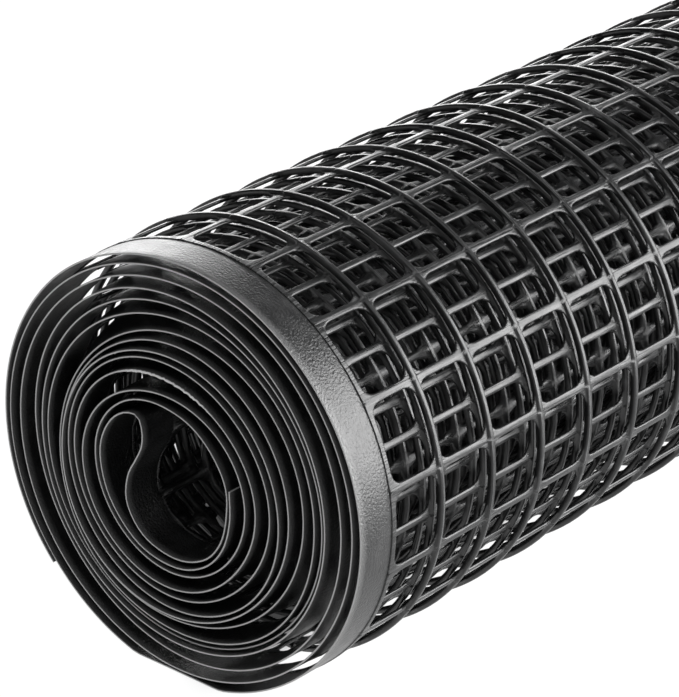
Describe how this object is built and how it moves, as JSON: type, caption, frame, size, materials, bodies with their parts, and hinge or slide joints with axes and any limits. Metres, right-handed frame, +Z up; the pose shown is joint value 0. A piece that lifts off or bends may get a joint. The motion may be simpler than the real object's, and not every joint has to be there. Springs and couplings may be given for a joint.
{
  "type": "roll of plastic mesh fencing",
  "caption": "Loosely wound roll of black plastic mesh fencing with plain edge bands and an S-shaped inner fold, lying on its side.",
  "frame": {"origin": "middle of the roll's underside, at the height of the surface that it lies on", "axes": "+X along the roll from the end in the picture to the far end, +Z up"},
  "size_m": [0.6096, 0.1606, 0.1527],
  "materials": {
    "black_plastic": "satin black moulded plastic with soft grey highlights and a faint pebbled grain on the edge bands"
  },
  "bodies": {
    "root": {"mesh_roll": "black_plastic"}
  },
  "joints": []
}
